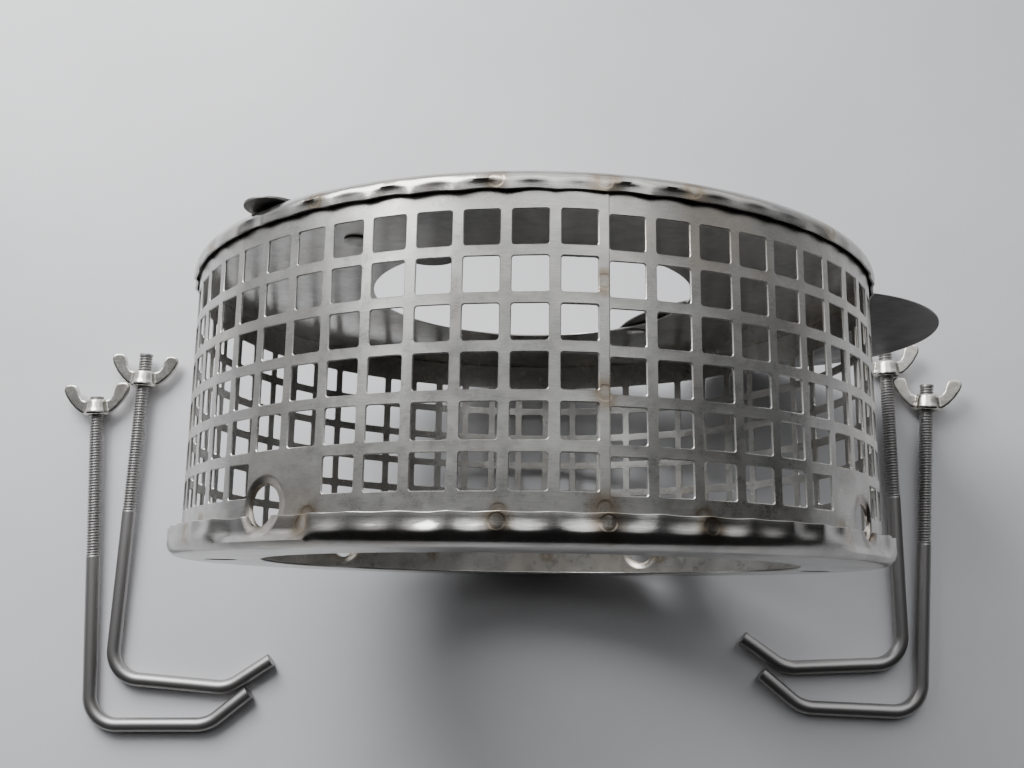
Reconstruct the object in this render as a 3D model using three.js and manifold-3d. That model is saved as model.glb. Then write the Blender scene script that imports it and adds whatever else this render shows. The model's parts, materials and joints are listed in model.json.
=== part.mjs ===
// A stainless-steel bird guard for a chimney pot, lying on its side with its fixing kit beside it.
// The guard is a drum of perforated sheet between a cap and a base ring, with a round cover that
// swings over the hole in the cap and a catch that holds it shut. The kit is four hook bolts,
// each with a wing nut. Units are millimetres. The drum's axis is +Y and the floor is z = 0.
import * as THREE from 'three';
import { mergeVertices } from 'three/addons/utils/BufferGeometryUtils.js';
import Module from 'manifold-3d';

const wasm = await Module();
wasm.setup();

// ---- driving sizes ----
const GAP = 0.3; // between pieces that touch in the real object
const SHEET = 0.8; // thickness of the cap, the base ring and the cover

// The perforated sheet: square holes on a half-inch pitch, rolled into a drum.
const PITCH = 12.7;
const HOLE = 9.6;
const COLUMNS = 58;
const ROWS = 6;
const WALL_SHEET = 0.7;
const TOP_BAND = 10; // plain strip above the first row of holes
const BOTTOM_BAND = 12.8; // plain strip below the last row
const ROLL_ERROR = 0.8; // how far the rows miss each other where the rolled sheet meets itself
const SEAM_ANGLE = 8.7; // degrees from straight up
const LAP = 1.2; // width of the seam's lap, in columns

// Each fixing hole takes the place of one hole in the last row, and its neighbour is left plain.
const FIXING_HOLE_D = 11.5;
const FIXING_HOLE_DROP = 2.5; // its centre, below the last row of square holes
const FIXING_STEPS = [7, 23]; // whole columns between the seam and a hole's own, both ways round

const CAP_HOLE_R = 57.8;
const CAP_FLANGE = 6.5;
const CAP_FLANGE_SLACK = 0.6; // between the wall's lap and the inside of the cap's flange
const BASE_HOLE_R = 91.7;
const BASE_FLANGE = 8.7;
const BASE_FLANGE_SLACK = 2.7;
const FOLD = 1.2; // chamfer that stands for the bend between a plate and its flange
const BASE_BOLT_HOLE_D = 11;
const BASE_BOLT_HOLE_RADIUS = 105; // from the drum's axis

// The cover turns on a rivet near its edge.
const COVER_LAP = 7.2; // how much wider the cover is than the hole, all round
const COVER_PIVOT_MARGIN = 6.2; // from the hole's edge to the rivet
const COVER_PIVOT_ANGLE = 48; // degrees, from +X towards the floor
const COVER_OFFSET = 5.4; // from the drum's axis to the middle of the shut cover, towards the rivet
const CATCH_CLEARANCE = 10.1; // from the sweep of the cover to the step in the catch
const CATCH_ARM = 31.1; // from the rivet to the centre of each round end
const CATCH_WIDTH = 17.4;
const CATCH_STEP_START = 8; // the inner arm steps up over the cover between these two distances
const CATCH_STEP_END = 13;

const RIVET_R = 2.5;
const RIVET_HEAD_R = 4.8;
const RIVET_TAIL_R = 4;
const RIVET_HEAD = 1.4;
const RIVET_TAIL = 1.2;
const RUNNING_CLEARANCE = 0.06; // between a turning piece and the rivet or rod it turns on

// Hook bolts of quarter-inch rod, six inches long over all.
const ROD_R = 3.175;
const SHAFT = 148.6; // from the tip to the corner of the hook
const FOOT = 53.2; // from that corner to the corner of the toe
const TOE = 22.5;
const HOOK_ANGLE = 92.5; // between the shaft and the foot
const TOE_ANGLE = 38; // between the foot's line and the toe
const HOOK_BEND_R = 13;
const TOE_BEND_R = 15;

const NUT_FOOT_WALL = 2.625; // hub wall round the rod, at its foot and at its top
const NUT_TOP_WALL = 1.725;
const NUT_HUB = 7.5;
const NUT_WING = 2;

// Where each bolt lies. out is how far its corner stands past the drum's side on the left, and
// past the open cover's rim on the right. up is measured from the underside of the last row of
// holes. An inner bolt lies two rods above that, and an outer one a rod farther out. lean is in
// degrees, and nut is the distance from the rod's tip to the nut's foot.
const BOLTS = [
  { name: 'left_outer', side: -1, out: 67.45, up: -82.6, lean: 3.5, nut: 8.7, spin: 0 },
  { name: 'left_inner', side: -1, out: 65.8, up: -74.5, lean: -1.8, nut: 15.6, spin: 4 },
  { name: 'right_inner', side: 1, out: 2.3, up: -63.3, lean: 0.4, nut: 17.6, spin: -6 },
  { name: 'right_outer', side: 1, out: 2.75, up: -71.7, lean: -4.2, nut: 12.1, spin: -12 },
];

// ---- sizes that follow ----
const DRUM_R = (COLUMNS * PITCH) / (2 * Math.PI);
const COLUMN_STEP = (2 * Math.PI) / COLUMNS;
const ROWS_HEIGHT = (ROWS - 1) * PITCH + HOLE;
const WALL_BOTTOM = -BOTTOM_BAND;
const WALL_TOP = ROWS_HEIGHT + TOP_BAND;
const BASE_FACE = WALL_BOTTOM - GAP - SHEET; // the underside of the base ring
const CAP_FACE = WALL_TOP + GAP + SHEET; // the outside of the cap
const CAP_R = DRUM_R + WALL_SHEET + CAP_FLANGE_SLACK + SHEET;
const BASE_R = DRUM_R + WALL_SHEET + BASE_FLANGE_SLACK + SHEET;
const RING_SIDES = 2 * COLUMNS;
const FIXING_COLUMNS = FIXING_STEPS.flatMap((n) => [n, COLUMNS - 1 - n]);
const PLAIN_COLUMNS = FIXING_STEPS.flatMap((n) => [n - 1, COLUMNS - n]);
const COVER_R = CAP_HOLE_R + COVER_LAP;
const COVER_PIVOT_RADIUS = CAP_HOLE_R + COVER_PIVOT_MARGIN; // from the drum's axis to the rivet
const COVER_ARM = COVER_PIVOT_RADIUS - COVER_OFFSET; // from the rivet to the cover's centre
const CATCH_PIVOT_RADIUS =
  COVER_ARM + COVER_R - COVER_PIVOT_RADIUS + CATCH_STEP_END + CATCH_CLEARANCE;
const COVER_FACE = CAP_FACE + GAP; // the cover's underside, and the catch's
const AXIS_HEIGHT = BASE_R * Math.cos(Math.PI / (2 * COLUMNS)); // the base ring lies on one facet
const CATCH_RISE = SHEET + GAP; // lifts the catch's inner arm clear of the cover
const NUT_HUB_R = ROD_R + NUT_FOOT_WALL;
const NUT_TOP_R = ROD_R + NUT_TOP_WALL;
const ROD_SIDES = 12;
const HOOK_STEPS = 8;
const TOE_STEPS = 4;

const radians = THREE.MathUtils.degToRad;

// ---- helpers ----
function toSolid(geometry) {
  const bare = geometry.clone();
  bare.deleteAttribute('normal');
  bare.deleteAttribute('uv');
  const merged = mergeVertices(bare, 1e-4);
  return new wasm.Manifold(
    new wasm.Mesh({
      numProp: 3,
      vertProperties: merged.attributes.position.array,
      triVerts: new Uint32Array(merged.index.array),
    }),
  );
}

function toGeometry(body) {
  const mesh = body.getMesh();
  const geometry = new THREE.BufferGeometry();
  geometry.setAttribute('position', new THREE.BufferAttribute(mesh.vertProperties, 3));
  geometry.setIndex(new THREE.BufferAttribute(mesh.triVerts, 1));
  geometry.computeVertexNormals();
  return geometry;
}

function steel(color, roughness) {
  return new THREE.MeshStandardMaterial({ color, roughness, metalness: 0.9 });
}

function piece(name, geometry, material) {
  const mesh = new THREE.Mesh(geometry, material);
  mesh.name = name;
  return mesh;
}

function circlePoints(radius, sides, x = 0, y = 0) {
  const points = [];
  for (let i = 0; i < sides; i += 1) {
    const angle = (2 * Math.PI * (i + 0.5)) / sides;
    points.push(new THREE.Vector2(x + radius * Math.cos(angle), y + radius * Math.sin(angle)));
  }
  return points;
}

// A flat shape turned to lie across the drum's axis: its x stays, its y points at the floor.
function plate(shape, thickness) {
  const settings = { depth: thickness, bevelEnabled: false, curveSegments: 24 };
  return new THREE.ExtrudeGeometry(shape, settings).rotateX(-Math.PI / 2);
}

// A ring with facets that line up with the drum's columns, one of them facing the floor.
function turnedRing(outline) {
  const points = outline.map(([r, y]) => new THREE.Vector2(r, y));
  points.push(points[0].clone());
  return new THREE.LatheGeometry(points, RING_SIDES, Math.PI / RING_SIDES);
}

function turnedPost(outline, sides) {
  const points = outline.map(([r, y]) => new THREE.Vector2(r, y));
  return new THREE.LatheGeometry(points, sides);
}

// ---- the drum ----
// One column of the perforated sheet, laid flat: x is counted in columns and y in millimetres.
function columnShape(column) {
  const shape = boxShape(-0.5, 0.5, WALL_BOTTOM, WALL_TOP);
  const fixing = FIXING_COLUMNS.includes(column);
  const shortened = fixing || PLAIN_COLUMNS.includes(column);
  const drop = ROLL_ERROR * (1 - column / (COLUMNS - 1));
  addHoles(shape, shortened ? 1 : 0, HOLE, drop);
  if (fixing) {
    const round = circlePoints(FIXING_HOLE_D / 2, 16);
    shape.holes.push(
      new THREE.Path(round.map((p) => new THREE.Vector2(p.x / PITCH, p.y - FIXING_HOLE_DROP))),
    );
  }
  return shape;
}

function boxShape(left, right, low, high) {
  const shape = new THREE.Shape();
  return shape.setFromPoints([
    new THREE.Vector2(left, low),
    new THREE.Vector2(right, low),
    new THREE.Vector2(right, high),
    new THREE.Vector2(left, high),
  ]);
}

function addHoles(shape, firstRow, size, drop) {
  const half = size / 2;
  for (let row = firstRow; row < ROWS; row += 1) {
    const middle = row * PITCH + HOLE / 2 - drop;
    shape.holes.push(boxShape(-half / PITCH, half / PITCH, middle - half, middle + half));
  }
}

// Bends a flat strip round the drum, centred on a column, from one depth in the sheet outwards.
function bendStrip(shape, column, from, depth) {
  const geometry = new THREE.ExtrudeGeometry(shape, { depth, bevelEnabled: false });
  const position = geometry.attributes.position;
  const corners = [];
  for (let i = 0; i < position.count; i += 3) {
    const across = [0, 1, 2].map((k) => position.getX(i + k));
    const shared = Math.abs(across[0]) === 0.5 && across.every((x) => x === across[0]);
    for (let k = 0; k < 3 && !shared; k += 1) {
      const turn = (column + 0.5 + across[k] + COLUMNS) % COLUMNS;
      const angle = radians(SEAM_ANGLE) + turn * COLUMN_STEP;
      const radius = DRUM_R - WALL_SHEET + from + position.getZ(i + k);
      corners.push(radius * Math.sin(angle), position.getY(i + k), radius * Math.cos(angle));
    }
  }
  return corners;
}

function fromCorners(corners) {
  const geometry = new THREE.BufferGeometry();
  geometry.setAttribute('position', new THREE.Float32BufferAttribute(corners, 3));
  return geometry;
}

// The end of the rolled sheet, lapped over its beginning as far as the next row of holes.
function lapGeometry() {
  const margin = GAP;
  const shape = boxShape(-LAP / 2, LAP / 2, WALL_BOTTOM + margin, WALL_TOP - margin);
  addHoles(shape, 0, HOLE + margin, 0);
  return fromCorners(bendStrip(shape, COLUMNS - 1, WALL_SHEET / 2, 1.5 * WALL_SHEET));
}

function perforatedWall() {
  const corners = [];
  for (let column = 0; column < COLUMNS; column += 1) {
    corners.push(...bendStrip(columnShape(column), column, 0, WALL_SHEET));
  }
  const body = toSolid(fromCorners(corners)).add(toSolid(lapGeometry()));
  return piece('perforated_wall', toGeometry(body), steel(0x9a9890, 0.38));
}

function topCap() {
  const ring = turnedRing([
    [CAP_HOLE_R, CAP_FACE],
    [CAP_HOLE_R, CAP_FACE - SHEET],
    [CAP_R - SHEET, CAP_FACE - SHEET],
    [CAP_R - SHEET, CAP_FACE - CAP_FLANGE],
    [CAP_R, CAP_FACE - CAP_FLANGE],
    [CAP_R, CAP_FACE - FOLD],
    [CAP_R - FOLD, CAP_FACE],
  ]);
  let body = toSolid(ring);
  for (const pivot of [coverPivot(), catchPivot()]) {
    const drill = new THREE.CylinderGeometry(RIVET_R + GAP, RIVET_R + GAP, 4 * SHEET, 16);
    drill.translate(pivot.x, CAP_FACE, pivot.z);
    body = body.subtract(toSolid(drill));
  }
  return piece('top_cap', toGeometry(body), steel(0x8d8b84, 0.3));
}

function baseRing() {
  const ring = turnedRing([
    [BASE_HOLE_R, BASE_FACE],
    [BASE_R - 2 * FOLD, BASE_FACE],
    [BASE_R, BASE_FACE + 2 * FOLD],
    [BASE_R, BASE_FACE + BASE_FLANGE],
    [BASE_R - SHEET, BASE_FACE + BASE_FLANGE],
    [BASE_R - SHEET, BASE_FACE + SHEET + 1.5 * FOLD],
    [BASE_R - SHEET - 1.5 * FOLD, BASE_FACE + SHEET],
    [BASE_HOLE_R, BASE_FACE + SHEET],
  ]);
  let body = toSolid(ring);
  // The fixing holes in the wall bite into the top of this flange.
  for (const column of FIXING_COLUMNS) {
    const length = 4 * BASE_FLANGE_SLACK;
    const drill = new THREE.CylinderGeometry(FIXING_HOLE_D / 2, FIXING_HOLE_D / 2, length, 16);
    drill.rotateX(Math.PI / 2).translate(0, -FIXING_HOLE_DROP, BASE_R);
    drill.rotateY(radians(SEAM_ANGLE) + (column + 0.5) * COLUMN_STEP);
    body = body.subtract(toSolid(drill));
  }
  // Two bolt holes through the plate, a quarter turn either side of the seam.
  for (const side of [-1, 1]) {
    const radius = BASE_BOLT_HOLE_D / 2;
    const drill = new THREE.CylinderGeometry(radius, radius, 4 * SHEET, 20);
    drill.translate(0, BASE_FACE, BASE_BOLT_HOLE_RADIUS);
    drill.rotateY(radians(SEAM_ANGLE + 90 * side));
    body = body.subtract(toSolid(drill));
  }
  return piece('base_ring', toGeometry(body), steel(0x86847d, 0.3));
}

// ---- the cover and its catch ----
// A point on the cap at a distance from the axis and an angle from +X towards the floor.
function capPoint(radius, degrees) {
  const angle = radians(degrees);
  return new THREE.Vector3(radius * Math.cos(angle), COVER_FACE, -radius * Math.sin(angle));
}

function coverPivot() {
  return capPoint(COVER_PIVOT_RADIUS, COVER_PIVOT_ANGLE);
}

// The open cover hangs just clear of the floor.
function coverOpenAngle() {
  const drop = AXIS_HEIGHT - GAP - COVER_R + coverPivot().z;
  return Math.asin(drop / COVER_ARM);
}

// How far the cover can reach to the right of the drum's axis.
function coverReach() {
  return coverPivot().x + COVER_ARM + COVER_R;
}

function catchPivot() {
  return capPoint(CATCH_PIVOT_RADIUS, COVER_PIVOT_ANGLE + 180);
}

function pivotHole() {
  const sides = 16;
  return new THREE.Path(circlePoints((RIVET_R + RUNNING_CLEARANCE) / Math.cos(Math.PI / sides), sides));
}

function swingCover() {
  const shape = new THREE.Shape(circlePoints(COVER_R, 72, COVER_ARM, 0));
  shape.holes.push(pivotHole());
  const mesh = piece('swing_cover', plate(shape, SHEET), steel(0x6f6d69, 0.35));
  mesh.position.copy(coverPivot());
  mesh.rotation.y = coverOpenAngle();
  return mesh;
}

function catchLever() {
  const outline = new THREE.Shape();
  outline.absarc(CATCH_ARM, 0, CATCH_WIDTH / 2, -Math.PI / 2, Math.PI / 2);
  outline.absarc(-CATCH_ARM, 0, CATCH_WIDTH / 2, Math.PI / 2, (3 * Math.PI) / 2);
  outline.holes.push(pivotHole());
  const reach = CATCH_ARM + CATCH_WIDTH;
  const profile = new THREE.Shape();
  profile.setFromPoints([
    new THREE.Vector2(reach, 0),
    new THREE.Vector2(reach, SHEET),
    new THREE.Vector2(-CATCH_STEP_START, SHEET),
    new THREE.Vector2(-CATCH_STEP_END, SHEET + CATCH_RISE),
    new THREE.Vector2(-reach, SHEET + CATCH_RISE),
    new THREE.Vector2(-reach, CATCH_RISE),
    new THREE.Vector2(-CATCH_STEP_END, CATCH_RISE),
    new THREE.Vector2(-CATCH_STEP_START, 0),
  ]);
  const bent = new THREE.ExtrudeGeometry(profile, { depth: 2 * CATCH_WIDTH, bevelEnabled: false });
  bent.translate(0, 0, -CATCH_WIDTH);
  const body = toSolid(bent).intersect(toSolid(plate(outline, 4 * SHEET)));
  const mesh = piece('catch_lever', toGeometry(body), steel(0x7b7973, 0.4));
  mesh.position.copy(catchPivot());
  mesh.rotation.y = radians(COVER_PIVOT_ANGLE + 180);
  return mesh;
}

// A rivet through the cap and the piece that turns on it, with heights from that piece's underside.
function rivet(name, pivot) {
  const head = SHEET + GAP;
  const tail = -SHEET - 2 * GAP;
  const post = turnedPost(
    [
      [0, tail - RIVET_TAIL],
      [RIVET_TAIL_R - 0.5, tail - RIVET_TAIL],
      [RIVET_TAIL_R, tail - RIVET_TAIL / 2],
      [RIVET_TAIL_R, tail],
      [RIVET_R, tail],
      [RIVET_R, head],
      [RIVET_HEAD_R, head],
      [RIVET_HEAD_R, head + RIVET_HEAD / 3],
      [RIVET_HEAD_R / 2, head + RIVET_HEAD],
      [0, head + RIVET_HEAD],
    ],
    16,
  );
  const mesh = piece(name, post, steel(0xa5a39d, 0.3));
  mesh.position.copy(pivot);
  return mesh;
}

// ---- the fixing kit ----
// A path that ExtrudeGeometry reads only at its stations, each with its own direction.
class RodPath extends THREE.Curve {
  constructor(stations) {
    super();
    this.stations = stations;
  }

  at(u) {
    return this.stations[Math.round(u * (this.stations.length - 1))];
  }

  getPointAt(u, target = new THREE.Vector3()) {
    return target.copy(this.at(u).point);
  }

  getTangentAt(u, target = new THREE.Vector3()) {
    return target.copy(this.at(u).direction);
  }
}

// The stations round one bend: from one direction to the next about a corner.
function bendStations(corner, from, to, radius, steps) {
  const half = (to - from) / 2;
  const reach = radius * Math.abs(Math.tan(half));
  const start = corner.clone().sub(new THREE.Vector2(Math.cos(from), Math.sin(from)).multiplyScalar(reach));
  const turn = Math.sign(half);
  const centre = start.clone().add(new THREE.Vector2(-Math.sin(from), Math.cos(from)).multiplyScalar(turn * radius));
  const stations = [];
  for (let i = 0; i <= steps; i += 1) {
    const angle = from + ((to - from) * i) / steps;
    const outward = new THREE.Vector2(Math.sin(angle), -Math.cos(angle)).multiplyScalar(turn * radius);
    stations.push(station(centre.clone().add(outward), angle));
  }
  return stations;
}

function station(point, angle) {
  return {
    point: new THREE.Vector3(point.x, point.y, 0),
    direction: new THREE.Vector3(Math.cos(angle), Math.sin(angle), 0),
  };
}

// The rod runs down the shaft, round the hook, along the foot and up the toe.
function hookBolt(name) {
  const down = -Math.PI / 2;
  const foot = down + Math.PI - radians(HOOK_ANGLE);
  const toe = foot + radians(TOE_ANGLE);
  const corner = new THREE.Vector2(0, 0);
  const toeCorner = new THREE.Vector2(Math.cos(foot), Math.sin(foot)).multiplyScalar(FOOT);
  const end = new THREE.Vector2(Math.cos(toe), Math.sin(toe)).multiplyScalar(TOE).add(toeCorner);
  const stations = [
    station(new THREE.Vector2(0, SHAFT), down),
    ...bendStations(corner, down, foot, HOOK_BEND_R, HOOK_STEPS),
    ...bendStations(toeCorner, foot, toe, TOE_BEND_R, TOE_STEPS),
    station(end, toe),
  ];
  const section = new THREE.Shape(circlePoints(ROD_R, ROD_SIDES));
  const geometry = new THREE.ExtrudeGeometry(section, {
    steps: stations.length - 1,
    extrudePath: new RodPath(stations),
  });
  return piece(name, geometry, steel(0x77756f, 0.35));
}

// One wing, with x measured from the outside of the hub's foot.
function wingShape() {
  const shape = new THREE.Shape();
  shape.moveTo(-1.4, 1);
  shape.lineTo(1.6, 1.6);
  shape.quadraticCurveTo(6.2, 5.5, 9.4, 11.2);
  shape.quadraticCurveTo(10.4, 14, 8, 14.9);
  shape.lineTo(4.8, 15.2);
  shape.quadraticCurveTo(3, 14.8, 2.5, 12.6);
  shape.quadraticCurveTo(1.6, 8.4, -1.4, 6.6);
  return shape;
}

function wingNut(name) {
  const sides = 24;
  const bore = (ROD_R + RUNNING_CLEARANCE) / Math.cos(Math.PI / sides);
  const hub = turnedPost(
    [
      [bore, 0],
      [NUT_HUB_R, 0],
      [NUT_HUB_R, NUT_HUB / 5],
      [NUT_TOP_R, NUT_HUB],
      [bore, NUT_HUB],
      [bore, 0],
    ],
    sides,
  );
  let body = toSolid(hub);
  for (const turn of [0, Math.PI]) {
    const settings = { depth: NUT_WING, bevelEnabled: false, curveSegments: 4 };
    const wing = new THREE.ExtrudeGeometry(wingShape(), settings);
    wing.translate(NUT_HUB_R, 0, -NUT_WING / 2).rotateY(turn);
    body = body.add(toSolid(wing));
  }
  return piece(name, toGeometry(body), steel(0xc9c5bb, 0.3));
}

// Drops a group until its lowest point is on the floor.
function restOnFloor(group) {
  group.updateMatrixWorld(true);
  group.position.z -= new THREE.Box3().setFromObject(group, true).min.z;
  return group;
}

// A bolt and its nut. The nut is fatter than the rod, so it lifts its end of the bolt.
function fixing(bolt) {
  const rod = hookBolt(`hook_bolt_${bolt.name}`);
  rod.rotation.y = bolt.side < 0 ? 0 : Math.PI;
  const nut = wingNut(`wing_nut_${bolt.name}`);
  nut.position.y = SHAFT - bolt.nut;
  nut.rotation.y = radians(bolt.spin);
  const group = new THREE.Group();
  group.add(rod, nut);
  group.rotation.set(Math.asin(NUT_FOOT_WALL / nut.position.y), 0, radians(bolt.lean));
  const inner = bolt.name.endsWith('inner');
  const out = bolt.out + (inner ? 0 : 2 * ROD_R);
  const up = bolt.up + (inner ? 4 * ROD_R : 0);
  group.position.set(bolt.side < 0 ? -BASE_R - out : coverReach() + out, up, 0);
  return restOnFloor(group);
}

// ---- assembly ----
function drum() {
  const group = new THREE.Group();
  group.add(perforatedWall(), topCap(), baseRing());
  group.add(swingCover(), rivet('cover_rivet', coverPivot()));
  group.add(catchLever(), rivet('catch_rivet', catchPivot()));
  return restOnFloor(group);
}

const layout = new THREE.Group();
layout.add(drum(), ...BOLTS.map(fixing));

// The origin is the middle of the layout's outline on the floor.
layout.updateMatrixWorld(true);
const middle = new THREE.Box3().setFromObject(layout, true).getCenter(new THREE.Vector3());
layout.position.set(-middle.x, -middle.y, 0);

const birdGuard = new THREE.Group();
birdGuard.add(layout);

export default birdGuard;
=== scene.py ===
"""A stainless bird guard for a chimney pot, lying on its side with its hook bolts and wing nuts."""

import json
import math

import bmesh
import bpy
import numpy as np
from bpy.props import FloatProperty, FloatVectorProperty, IntProperty, PointerProperty
from mathutils import Matrix, Vector
from mathutils.geometry import delaunay_2d_cdt

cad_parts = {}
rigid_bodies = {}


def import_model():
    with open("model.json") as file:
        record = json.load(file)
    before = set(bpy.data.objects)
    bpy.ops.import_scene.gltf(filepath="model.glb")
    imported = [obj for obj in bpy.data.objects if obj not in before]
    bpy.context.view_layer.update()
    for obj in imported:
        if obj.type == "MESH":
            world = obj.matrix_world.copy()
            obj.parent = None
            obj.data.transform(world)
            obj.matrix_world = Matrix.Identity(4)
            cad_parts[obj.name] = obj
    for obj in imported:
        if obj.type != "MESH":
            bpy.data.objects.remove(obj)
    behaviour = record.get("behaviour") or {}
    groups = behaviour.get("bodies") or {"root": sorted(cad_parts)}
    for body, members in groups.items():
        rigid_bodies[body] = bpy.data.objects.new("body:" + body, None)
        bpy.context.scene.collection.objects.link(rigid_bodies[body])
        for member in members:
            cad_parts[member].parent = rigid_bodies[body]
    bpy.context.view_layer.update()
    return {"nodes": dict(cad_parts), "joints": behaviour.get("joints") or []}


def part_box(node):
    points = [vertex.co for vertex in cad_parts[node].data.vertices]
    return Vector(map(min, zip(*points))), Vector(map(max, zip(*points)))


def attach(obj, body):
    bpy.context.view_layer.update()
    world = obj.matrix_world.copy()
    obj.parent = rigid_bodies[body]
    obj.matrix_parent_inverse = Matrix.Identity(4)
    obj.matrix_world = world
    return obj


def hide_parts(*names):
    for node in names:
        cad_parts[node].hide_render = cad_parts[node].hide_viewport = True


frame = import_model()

bl_info = {
    "name": "Chimney pot bird guard",
    "version": (1, 0, 0),
    "blender": (4, 5, 0),
    "location": "View3D > Sidebar > Bird Guard",
    "description": "Builds a perforated steel bird guard with its catch, hook bolts and wing nuts",
    "category": "Add Mesh",
}

MM = 0.001
BOLTS = ("left_outer", "left_inner", "right_inner", "right_outer")
# The columns whose last hole makes way for a round fixing hole, and the plain ones beside them.
FIXINGS = (7, 23, 34, 50)
PLAINS = (6, 22, 35, 51)
PIERCED, PLAIN, FOOT, HEAD, FIXING = range(5)

# ---- the drum's axis and levels, from the frame ----
BASE_LOW, BASE_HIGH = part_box("base_ring")
CAP_LOW, CAP_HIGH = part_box("top_cap")
WALL_LOW, WALL_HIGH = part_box("perforated_wall")
AXIS_X = (BASE_LOW[0] + BASE_HIGH[0]) / 2
AXIS_Z = (BASE_LOW[2] + BASE_HIGH[2]) / 2
BASE_R = (BASE_HIGH[0] - BASE_LOW[0]) / 2
CAP_R = (CAP_HIGH[0] - CAP_LOW[0]) / 2
WALL_R = (WALL_HIGH[0] - WALL_LOW[0]) / 2
SEAM = math.radians(8.7)
PITCH = 12.7 * MM
FOOT_BAND = 12.8 * MM  # plain sheet below the last row of holes
ROWS_ZERO = WALL_LOW[1] + FOOT_BAND

# ---- how far marks and rims reach from their own middle ----
RIM_REACH = 6.3 * MM
DISH_REACH = 8.6 * MM
WELD_R = 2.4 * MM
WELDS = 14
NICK = 0.2 * MM  # rounding of a cut edge of a ring
SMALLEST_GAP = 2e-6  # points nearer than this are one point


# ---- settings ----
def length(name, text, default, low=0.0):
    return FloatProperty(name=name, description=text, default=default, min=low, unit="LENGTH")


def colour(name, text, default):
    return FloatVectorProperty(
        name=name, description=text, default=default, size=3, min=0, max=1, subtype="COLOR"
    )


def share(name, text, default):
    return FloatProperty(name=name, description=text, default=default, min=0, max=1, subtype="FACTOR")


class WallSettings(bpy.types.PropertyGroup):
    columns: IntProperty(name="Columns", description="Holes once round the drum", default=58, min=8)
    rows: IntProperty(name="Rows", description="Rows of holes", default=6, min=1)
    hole: length("Hole", "Side of a square hole", 9.6 * MM)
    corner: length("Hole corner", "Radius in the corners of a hole", 0.7 * MM)
    sheet: length("Sheet", "Thickness of the perforated sheet", 0.7 * MM)
    rolled_edge: length("Rolled edge", "Width of the worn edge round each hole", 0.2 * MM)
    drift: length("Roll drift", "How far the rows miss each other at the seam", 0.8 * MM)
    fixing_hole: length("Fixing hole", "Diameter of the round holes for the bolts", 11.5 * MM)
    fixing_drop: length("Fixing drop", "Centre of a fixing hole below the last row", 2.5 * MM)
    rim: length("Rim", "How far the rim of a fixing hole is turned in", 0.5 * MM)
    dish: length("Dish", "Depth of the soft dish round a fixing hole", 1.0 * MM)


class RingSettings(bpy.types.PropertyGroup):
    sheet: length("Sheet", "Thickness of the cap and the base ring", 0.8 * MM)
    cap_hole: length("Cap hole", "Radius of the hole in the cap", 57.8 * MM)
    base_hole: length("Base hole", "Radius of the hole in the base ring", 91.7 * MM)
    cap_fold: length("Cap fold", "Outside radius of the bend at the cap's edge", 4.4 * MM)
    base_fold: length("Base fold", "Outside radius of the bend at the base ring's edge", 4.2 * MM)
    cap_dent: length("Cap dents", "Depth of the hammer marks on the cap's flange", 0.75 * MM)
    base_dent: length("Base dents", "Depth of the hammer marks on the base flange", 1.3 * MM)
    bolt_hole: length("Bolt hole", "Diameter of the two holes in the base ring", 11 * MM)
    bolt_circle: length("Bolt circle", "Radius that the two holes lie on", 105 * MM)


class CoverSettings(bpy.types.PropertyGroup):
    bead: length("Bead", "Height of the pressed ring near the cover's edge", 0.22 * MM)
    edge: length("Edge", "Rounding of the cut edges", 0.18 * MM)
    catch_arm: length("Catch arm", "From the catch's rivet to each round end", 31.1 * MM)
    catch_width: length("Catch width", "Width of the catch", 17.4 * MM)


class BoltSettings(bpy.types.PropertyGroup):
    rod: length("Rod", "Radius of the rod", 3.175 * MM)
    shaft: length("Shaft", "From the tip to the corner of the hook", 148.6 * MM)
    foot: length("Foot", "From the hook's corner to the toe's corner", 53.2 * MM)
    toe: length("Toe", "Length of the turned-up end", 22.5 * MM)
    pitch: length("Thread pitch", "Distance between threads", 1.27 * MM, 0.1 * MM)
    depth: length("Thread depth", "Depth of the thread", 0.55 * MM)
    threaded: length("Threaded length", "How far the thread runs from the tip", 75 * MM)


class NutSettings(bpy.types.PropertyGroup):
    grain: length("Casting detail", "Smallest detail kept in the cast nuts", 0.36 * MM, 0.1 * MM)
    wing: length("Wing", "Thickness of a wing", 2.4 * MM)


class FinishSettings(bpy.types.PropertyGroup):
    wall: colour("Wall", "Colour of the perforated sheet", (0.6, 0.59, 0.565))
    formed: colour("Rings", "Colour of the cap and the base ring", (0.56, 0.55, 0.53))
    # The cover's dark colour is painted shade: it stands in for the shadow under the cover and the dark
    # room that it reflects.
    cover: colour("Cover", "Colour of the cover and the catch", (0.18, 0.176, 0.172))
    rivet: colour("Rivets", "Colour of the rivets", (0.55, 0.53, 0.5))
    rod: colour("Bolts", "Colour of the hook bolts", (0.15, 0.147, 0.14))
    nut: colour("Nuts", "Colour of the wing nuts", (0.66, 0.64, 0.59))
    tint: colour("Heat tint", "Brown of the steel round a weld", (0.27, 0.19, 0.1))
    wear: share("Wear", "Strength of the scratches and stains", 0.6)


class StageSettings(bpy.types.PropertyGroup):
    floor: colour("Floor", "Colour of the painted board", (0.8, 0.8, 0.815))
    window: FloatProperty(name="Window", description="Power of the window light", default=6.5, min=0)
    sky: FloatProperty(name="Sky", description="Strength of the light all round", default=0.7, min=0)


SETTINGS = {
    "guard_wall": WallSettings,
    "guard_rings": RingSettings,
    "guard_cover": CoverSettings,
    "guard_bolts": BoltSettings,
    "guard_nuts": NutSettings,
    "guard_finish": FinishSettings,
    "guard_stage": StageSettings,
}


# ---- node trees ----
def put(tree, kind, *values, **settings):
    """Adds a node. The values fill its inputs in order, and None leaves one as it is."""
    node = tree.nodes.new(kind)
    for key, value in settings.items():
        setattr(node, key, value)
    fill(tree, node.inputs, values)
    return node


def fill(tree, sockets, values):
    for socket, value in zip(sockets, values):
        plug(tree, socket, value)


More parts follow.
